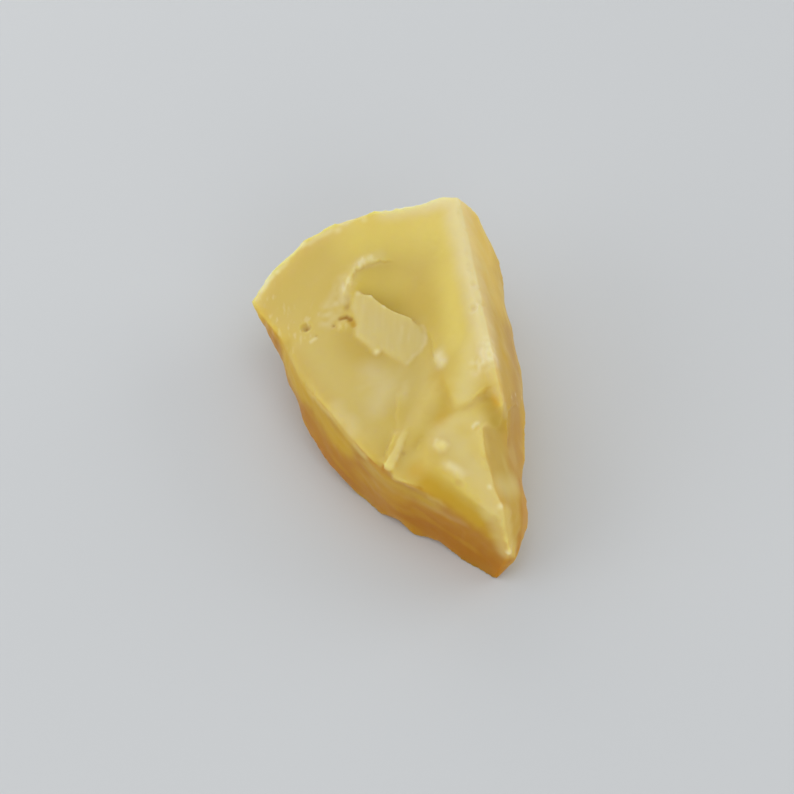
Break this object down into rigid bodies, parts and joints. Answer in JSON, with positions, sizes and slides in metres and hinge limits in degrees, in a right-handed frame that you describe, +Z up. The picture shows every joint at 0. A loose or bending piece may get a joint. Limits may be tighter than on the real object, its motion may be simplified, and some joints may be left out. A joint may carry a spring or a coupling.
{
  "type": "rough opal",
  "caption": "Rough piece of yellow opal, broken on every side, with a shallow shell-shaped hollow, a rounded crest and a pointed tail.",
  "frame": {"origin": "on the resting face, under the middle of the stone's outline", "axes": "+Y along the stone from its pointed tail to its broad back, +Z up from the resting face, +X towards the high crest"},
  "size_m": [0.0292, 0.0468, 0.0177],
  "materials": {
    "opal": "waxy, translucent yellow stone with broken faces that shine softly"
  },
  "bodies": {
    "root": {"opal_stone": "opal"}
  },
  "joints": []
}
